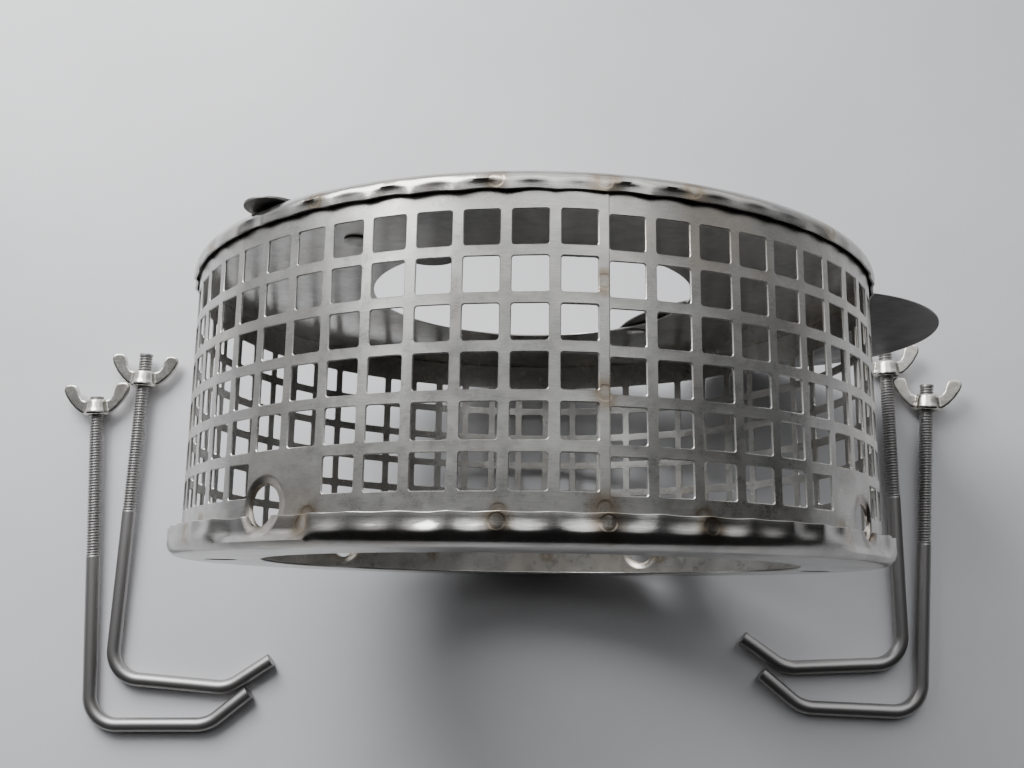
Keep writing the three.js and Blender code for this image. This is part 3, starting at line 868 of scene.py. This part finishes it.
class GUARD_OT_cover(bpy.types.Operator):
    """Makes the swinging cover, the catch and the two rivets they turn on"""

    bl_idname = "bird_guard.cover"
    bl_label = "Cover, catch and rivets"

    def execute(self, context):
        cover = context.scene.guard_cover
        low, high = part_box("swing_cover")
        centre = ((low[0] + high[0]) / 2, (low[2] + high[2]) / 2)
        radius = (high[0] - low[0]) / 2
        thick, nick = high[1] - low[1], cover.edge
        bead = radius - BEAD_IN
        start, end = bead - BEAD_HALF, bead + BEAD_HALF
        outline = [(0, low[1]), (start, low[1]), (bead, low[1] + cover.bead), (end, low[1])]
        outline += [(radius - nick, low[1]), (radius, low[1] + nick), (radius, high[1] - nick)]
        outline += [(radius - nick, high[1]), (end, high[1]), (bead, high[1] - cover.bead * 0.2)]
        outline += [(start, high[1]), (0, high[1])]
        disc = lathe("round_cover", outline, 160, centre)
        disc = self.pierce(disc, "cover_rivet", 6 * thick)
        settle(disc, 30, "cover", ["swing_cover"], "cover_steel")
        self.add_catch(cover)
        for name in ("cover_rivet", "catch_rivet"):
            self.add_rivet(name)
        return {"FINISHED"}

    def pierce(self, obj, rivet, depth):
        spot = Matrix.Translation(middle(rivet)) @ UPRIGHT
        return drill(obj, [post(RIVET_HOLE, depth, spot, 24)])

    def add_catch(self, cover):
        """An oblong plate with a step: rings of points from end to end, and faces between them."""
        low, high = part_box("catch_lever")
        pivot = middle("catch_rivet")
        arm, half, nick = cover.catch_arm, cover.catch_width / 2, cover.edge
        sheet = high[1] - low[1] - CATCH_RISE
        direction = Vector((AXIS_X - pivot[0], 0, AXIS_Z - pivot[2])).normalized()
        side = Vector((-direction.z, 0, direction.x))
        quarter = [math.pi / 2 * k / END_STEPS for k in range(END_STEPS + 1)]
        stations = [-arm - half * math.cos(a) for a in quarter]
        stations += [-arm + 2 * arm * k / MIDDLE_STEPS for k in range(1, MIDDLE_STEPS)]
        stations += [arm + half * math.sin(a) for a in quarter]
        points = []
        for s in stations:
            over = max(abs(s) - arm, 0)
            wide = max(math.sqrt(max(half * half - over * over, 0)), 0.05 * MM)
            up = low[1] + CATCH_RISE * soft_step((s - 8 * MM) / (5 * MM))
            ring = [(-wide + nick, 0), (wide - nick, 0), (wide, nick), (wide, sheet - nick)]
            ring += [(wide - nick, sheet), (-wide + nick, sheet), (-wide, sheet - nick), (-wide, nick)]
            for across, height in ring:
                if wide < 2 * nick:
                    across = math.copysign(min(abs(across), wide), across)
                spot = Vector(pivot) + direction * s + side * across
                points.append((spot.x, up + height, spot.z))
        count = 8  # points in a ring
        last = len(points) - count
        faces = [tuple(range(count)), tuple(range(last, last + count))]
        for i in range(0, last, count):
            for k in range(count):
                m = (k + 1) % count
                faces.append((i + k, i + m, i + count + m, i + count + k))
        catch = add_object("turn_catch", outward(mesh_from("turn_catch", points, faces)))
        catch = self.pierce(catch, "catch_rivet", 8 * sheet)
        settle(catch, 30, "catch", ["catch_lever"], "cover_steel")

    def add_rivet(self, name):
        """A shank with a low domed head above and a set tail below."""
        low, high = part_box(name)
        x, _, z = middle(name)
        head, tail, shank = (high[0] - low[0]) / 2, 4 * MM, 2.5 * MM
        under, dome, tail_face = high[1] - 1.4 * MM, 1.15 * MM, low[1] + 1.2 * MM
        outline = [(0, low[1])]
        outline += [(tail * math.sin(a), tail_face - 1.2 * MM * math.cos(a)) for a in sweep(0.25, 6)]
        outline += [(tail, tail_face), (shank, tail_face), (shank, under), (head, under)]
        rim = under + 0.25 * MM
        outline += [(head * math.cos(a), rim + dome * math.sin(a)) for a in sweep(0, 8)]
        rivet = lathe(name + "_set", outline + [(0, high[1])], 40, (x, z))
        settle(rivet, 40, "drum", [name], "rivet_steel")


def sweep(start, count):
    """Angles from start up to, but short of, a quarter turn."""
    return [start + (math.pi / 2 - start) * k / count for k in range(count)]


def middle(node):
    low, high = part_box(node)
    return tuple((a + b) / 2 for a, b in zip(low, high))


# ---- the fixing kit ----
HOOK_OPENS = math.radians(92.5)  # between the shaft and the foot
TOE_TURNS = math.radians(38)
HOOK_BEND, TOE_BEND = 13 * MM, 15 * MM
TIP = 0.8 * MM  # where the rod has its full width
TURN_STEPS = 8  # rings of points to one turn of the thread


def nut_axis(name):
    """A point on the line that the bolt's nut turns about, and the line's direction."""
    joint = next(j for j in frame["joints"] if j["name"] == f"nut_{name}_spin")
    return Vector(joint["pos_m"]), Vector(joint["axis"]).normalized()


def laid_out(across, along, corner):
    """The matrix that takes X to across, Y to along and the origin to corner."""
    normal = across.cross(along).normalized()
    return Matrix.Translation(corner) @ Matrix((across, along, normal)).transposed().to_4x4()


def bend(corner, start, end, radius, steps):
    """Points round one bend of the rod, from one direction to the next."""
    half = (end - start) / 2
    reach = radius * abs(math.tan(half))
    turn = math.copysign(1, half)
    first = corner - Vector((math.cos(start), math.sin(start))) * reach
    centre = first + Vector((-math.sin(start), math.cos(start))) * turn * radius
    result = []
    for i in range(steps + 1):
        angle = start + (end - start) * i / steps
        result.append(centre + Vector((math.sin(angle), -math.cos(angle))) * turn * radius)
    return result


def rod_line(bolts):
    """The rod's centre line from its tip, with the hook's corner at the origin and +Y up the shaft."""
    down = -math.pi / 2
    foot = down + math.pi - HOOK_OPENS
    toe = foot + TOE_TURNS
    toe_corner = Vector((math.cos(foot), math.sin(foot))) * bolts.foot
    line = [Vector((0, bolts.shaft - d)) for d in (0, 0.35 * MM, TIP)]
    count = round(bolts.threaded / (bolts.pitch / TURN_STEPS))
    spread = [bolts.threaded * k / count for k in range(1, count + 1)]
    line += [Vector((0, bolts.shaft - TIP - d)) for d in spread]
    hook = bend(Vector((0, 0)), down, foot, HOOK_BEND, 20)
    low = line[-1].y
    line += [Vector((0, low + (hook[0].y - low) * k / 12)) for k in range(1, 12)]
    line += hook
    tip = bend(toe_corner, foot, toe, TOE_BEND, 10)
    line += [hook[-1].lerp(tip[0], k / 8) for k in range(1, 8)]
    line += tip
    end = toe_corner + Vector((math.cos(toe), math.sin(toe))) * bolts.toe
    line += [tip[-1].lerp(end, k / 4) for k in range(1, 4)]
    return line + [end - (end - tip[-1]).normalized() * 0.4 * MM, end]


def bolt_place(name, bolts):
    """Where a bolt lies: the matrix from its own plane to the row, fitted to its CAD node."""
    node = frame["nodes"]["hook_bolt_" + name]
    spots = np.array([node.matrix_world @ v.co for v in node.data.vertices])
    centre, along = nut_axis(name)
    side = 1 if name.startswith("left") else -1
    foot = (Vector((side, 0, 0)) - along * along.x * side).normalized()
    reach = (spots - np.array(centre)) @ np.array(along)
    return laid_out(foot, along, centre + along * (reach.max() - bolts.shaft))


def make_rod_tree():
    """Sweeps a round rod along its line and cuts a helical thread into its first stretch."""
    numbers = [(item, "Float") for item in ("Radius", "Pitch", "Depth", "Threaded")]
    tree, source, sink = geometry_group("Threaded rod", numbers)
    value = source.outputs
    line = marked(tree, value["Geometry"], "along", "Length")
    circle = put(tree, "GeometryNodeCurvePrimitiveCircle")
    name_in(tree, circle, Resolution=20, Radius=value["Radius"])
    ring = marked(tree, circle, "around", "Factor")
    swept = put(tree, "GeometryNodeCurveToMesh", line)
    name_in(tree, swept, Profile_Curve=ring, Fill_Caps=True)
    length_at, turn_at = [
        put(tree, "GeometryNodeInputNamedAttribute", name, data_type="FLOAT").outputs["Attribute"]
        for name in ("along", "around")
    ]
    phase = calc(tree, "SUBTRACT", calc(tree, "DIVIDE", length_at, value["Pitch"]), turn_at)
    groove = ramp(tree, calc(tree, "PINGPONG", phase, 0.5), 0.05, 0.45)
    # The thread starts just past the tip and runs out over its last 3 mm.
    runout = calc(tree, "SUBTRACT", value["Threaded"], 3 * MM)
    fade = ramp(tree, length_at, runout, value["Threaded"], 1.0, 0.0)
    start = ramp(tree, length_at, 0.6 * MM, 1.6 * MM)
    depth = calc(tree, "MULTIPLY", value["Depth"], start)
    cut = calc(tree, "MULTIPLY", calc(tree, "MULTIPLY", groove, fade), depth)
    inward = put(tree, "ShaderNodeVectorMath", put(tree, "GeometryNodeInputNormal"), operation="SCALE")
    name_in(tree, inward, Scale=calc(tree, "MULTIPLY", cut, -1.0))
    threaded = name_in(tree, put(tree, "GeometryNodeSetPosition", swept), Offset=inward)
    close_group(tree, threaded, source, sink)
    return tree


def marked(tree, curve, name, kind):
    """The curve, whose points keep how far along it they are under that name."""
    at = put(tree, "GeometryNodeSplineParameter").outputs[kind]
    node = put(tree, "GeometryNodeStoreNamedAttribute", curve, data_type="FLOAT", domain="POINT")
    return name_in(tree, node, Name=name, Value=at)


class GUARD_OT_bolts(bpy.types.Operator):
    """Bends the four hook bolts and cuts their threads"""

    bl_idname = "bird_guard.bolts"
    bl_label = "Hook bolts"

    def execute(self, context):
        bolts = context.scene.guard_bolts
        tree = make_rod_tree()
        sizes = {"pitch": bolts.pitch, "depth": bolts.depth, "threaded": bolts.threaded}
        for name in BOLTS:
            place = bolt_place(name, bolts)
            curve = bpy.data.curves.new("rod_line", "CURVE")
            curve.dimensions = "3D"
            line = rod_line(bolts)
            spline = curve.splines.new("POLY")
            spline.points.add(len(line) - 1)
            for point, at in zip(spline.points, line):
                point.co = (*(place @ at.to_3d()), 1)
                point.radius = 1
            for k, scale in ((0, 0.8), (1, 0.93), (-1, 0.88)):
                spline.points[k].radius = scale
            obj = add_object("rod_line", curve)
            # A little narrower than its size, which leaves a gap in the nuts.
            run_tree(obj, tree, radius=bolts.rod * 0.985, material=material_for("rod_steel"), **sizes)
            rod = bake(obj, "bent_rod_" + name)
            outward(rod.data)
            settle(rod, 48, "bolt_" + name, ["hook_bolt_" + name], "rod_steel")
        return {"FINISHED"}


# The section of the hub as (radius, height) and one wing as (across, up), in millimetres.
HUB = [(3.28, 0.1), (5.1, 0), (5.75, 0.7), (5.7, 1.6), (5.3, 3)]
HUB += [(5.0, 5), (4.75, 6.6), (4.3, 7.4), (3.28, 7.45)]
WING = [(3.9, 0.9), (7.2, 1.5), (9.8, 3.6), (12.4, 6.6), (14.6, 10.2), (15.4, 12.6), (14.9, 14.6)]
WING += [(13.2, 15.2), (10.9, 15.2), (9.4, 14.4), (8.6, 12.4), (7.9, 9.6), (6.6, 7.6), (3.9, 6.9)]
HUB_STEPS = 48


class GUARD_OT_nuts(bpy.types.Operator):
    """Casts the four wing nuts, each with a round hub and two flared wings"""

    bl_idname = "bird_guard.nuts"
    bl_label = "Wing nuts"

    def execute(self, context):
        nuts = context.scene.guard_nuts
        for name in BOLTS:
            obj = self.blank(nuts.wing)
            cast = obj.modifiers.new("Cast", "REMESH")
            cast.mode, cast.voxel_size = "VOXEL", nuts.grain
            soft = obj.modifiers.new("Soften", "SMOOTH")
            soft.factor, soft.iterations = 0.5, 6
            nut = bake(obj, "cast_nut_" + name)
            nut.data.transform(self.nut_place(name))
            settle(nut, 180, "nut_" + name, ["wing_nut_" + name], "nut_plate")
        return {"FINISHED"}

    def blank(self, thick):
        """The nut before it is cast: a hub with its bore and two flat wings that reach into it."""
        work = bmesh.new()
        rings = []
        for i in range(HUB_STEPS):
            x, z = math.cos(math.tau * i / HUB_STEPS) * MM, math.sin(math.tau * i / HUB_STEPS) * MM
            rings.append([work.verts.new((r * x, y * MM, r * z)) for r, y in HUB])
        for i, here in enumerate(rings):
            self.skin(work, here, rings[(i + 1) % HUB_STEPS])
        for side in (-1, 1):
            spots = [(side * x * MM, y * MM) for x, y in WING]
            front, back = [
                [work.verts.new((x, y, z)) for x, y in spots] for z in (thick / 2, -thick / 2)
            ]
            work.faces.new(front)
            work.faces.new(back[::-1])
            self.skin(work, back, front)
        bmesh.ops.recalc_face_normals(work, faces=work.faces)
        return from_bmesh("nut_blank", work)

    def skin(self, work, here, there):
        """Faces between two loops of points."""
        for i in range(len(here)):
            j = (i + 1) % len(here)
            work.faces.new((here[i], here[j], there[j], there[i]))

    def nut_place(self, name):
        """Where a nut sits: its foot on the shaft, and its wings as its CAD node's lie."""
        node = frame["nodes"]["wing_nut_" + name]
        centre, along = nut_axis(name)
        spots = [node.matrix_world @ v.co - centre for v in node.data.vertices]
        foot = centre + along * min(s.dot(along) for s in spots)
        tip = max(spots, key=lambda s: (s - along * s.dot(along)).length * (s.x > 0))
        wing = (tip - along * tip.dot(along)).normalized()
        # A wing points along the mean of the points near its tip.
        far = [s for s in spots if s.dot(wing) > tip.dot(wing) * 0.9]
        wing = sum((s - along * s.dot(along) for s in far), Vector()).normalized()
        return laid_out(wing, along, foot)


# ---- the stage ----
BOARD = 3.0  # half the board's width
LIGHTS = (("window", (-0.36, 0.52, 0.5), 0.46, 1.0), ("room", (0.3, 0.9, 1.5), 1.2, 0.6))


class GUARD_OT_stage(bpy.types.Operator):
    """Lays the pale board and sets the window light and the camera"""

    bl_idname = "bird_guard.stage"
    bl_label = "Stage"

    def execute(self, context):
        stage = context.scene.guard_stage
        corners = [(x * BOARD, y * BOARD, -0.3 * MM) for x, y in ((-1, -1), (1, -1), (1, 1), (-1, 1))]
        floor = add_object("painted_board", mesh_from("painted_board", corners, [(0, 1, 2, 3)]))
        floor.data.materials.append(self.paint(stage))
        self.lights(context, stage)
        self.camera(context)
        return {"FINISHED"}

    def paint(self, stage):
        material = bpy.data.materials.new("board_paint")
        material.use_nodes = True
        tree = material.node_tree
        shader = tree.nodes["Principled BSDF"]
        place = put(tree, "ShaderNodeTexCoord").outputs["Object"]
        soft = ramp(tree, noise(tree, place, 9, 4.0), 0.3, 0.7, 0.96, 1.03)
        tone = put(tree, "ShaderNodeVectorMath", tuple(stage.floor), soft, operation="MULTIPLY")
        plug(tree, shader.inputs["Base Color"], tone)
        shader.inputs["Roughness"].default_value = 0.42
        relief = put(tree, "ShaderNodeBump")
        name_in(tree, relief, Strength=0.08, Distance=0.0005, Height=noise(tree, place, 60, 4.0))
        plug(tree, shader.inputs["Normal"], relief)
        return material

    def lights(self, context, stage):
        for name, place, size, power in LIGHTS:
            light = bpy.data.lights.new(name, "AREA")
            light.shape, light.size, light.energy = "SQUARE", size, stage.window * power
            light.color = (0.97, 0.985, 1.0)
            obj = add_object(name, light)
            obj.location = place
            toward = Vector((0, 0, 0.05)) - Vector(place)
            obj.rotation_euler = toward.to_track_quat("-Z", "Y").to_euler()
        world = bpy.data.worlds.new("soft_room")
        context.scene.world = world
        world.use_nodes = True
        tree = world.node_tree
        tree.nodes.clear()
        way = put(tree, "ShaderNodeSeparateXYZ", put(tree, "ShaderNodeTexCoord").outputs["Generated"])
        # Brightest towards the window, at the upper left, and dark in the room opposite.
        toward = calc(tree, "MULTIPLY_ADD", way.outputs[0], -0.1, way.outputs[1])
        lit = ramp(tree, toward, -0.02, 0.8, 0.02, 2.0)
        seen = put(tree, "ShaderNodeLightPath").outputs["Is Camera Ray"]
        strength = mix(tree, seen, calc(tree, "MULTIPLY", lit, stage.sky), 0.75, "FLOAT")
        back = put(tree, "ShaderNodeBackground", (0.93, 0.94, 0.96, 1), strength)
        put(tree, "ShaderNodeOutputWorld", back)

    def camera(self, context):
        camera = bpy.data.cameras.new("camera")
        camera.sensor_width, camera.lens = 36, 37.67
        obj = add_object("camera", camera)
        ahead = Vector((-0.01245, 0.20229, -0.97925)).normalized()
        up = Vector((-0.0124, 0.97921, 0.20242))
        right = ahead.cross(up).normalized()
        turned = Matrix((right, right.cross(ahead), -ahead)).transposed().to_4x4()
        # Its place is set out from the drum's axis, level with the underside of the last row of holes.
        place = Vector((-2.18, -27.6, 379.7)) * MM + Vector((AXIS_X, ROWS_ZERO, AXIS_Z))
        obj.matrix_world = Matrix.Translation(place) @ turned
        context.scene.camera = obj


# ---- the panel and the script ----
OPERATORS = (
    GUARD_OT_stage,
    GUARD_OT_wall,
    GUARD_OT_rings,
    GUARD_OT_cover,
    GUARD_OT_bolts,
    GUARD_OT_nuts,
)


class GUARD_PT_panel(bpy.types.Panel):
    """Lists the pieces of the bird guard and their sizes"""

    bl_idname = "GUARD_PT_panel"
    bl_label = "Bird Guard"
    bl_space_type = "VIEW_3D"
    bl_region_type = "UI"
    bl_category = "Bird Guard"

    def draw(self, context):
        for operator in OPERATORS:
            self.layout.operator(operator.bl_idname)
        for name, group in SETTINGS.items():
            box = self.layout.box()
            for key in group.__annotations__:
                box.prop(getattr(context.scene, name), key)


CLASSES = (*SETTINGS.values(), *OPERATORS, GUARD_PT_panel)


def register():
    for item in CLASSES:
        bpy.utils.register_class(item)
    for name, group in SETTINGS.items():
        setattr(bpy.types.Scene, name, PointerProperty(type=group))


def unregister():
    for name in SETTINGS:
        delattr(bpy.types.Scene, name)
    for item in reversed(CLASSES):
        bpy.utils.unregister_class(item)


def main():
    register()
    bpy.ops.bird_guard.stage()
    bpy.ops.bird_guard.wall()
    bpy.ops.bird_guard.rings()
    bpy.ops.bird_guard.cover()
    bpy.ops.bird_guard.bolts()
    bpy.ops.bird_guard.nuts()


if __name__ == "__main__":
    main()
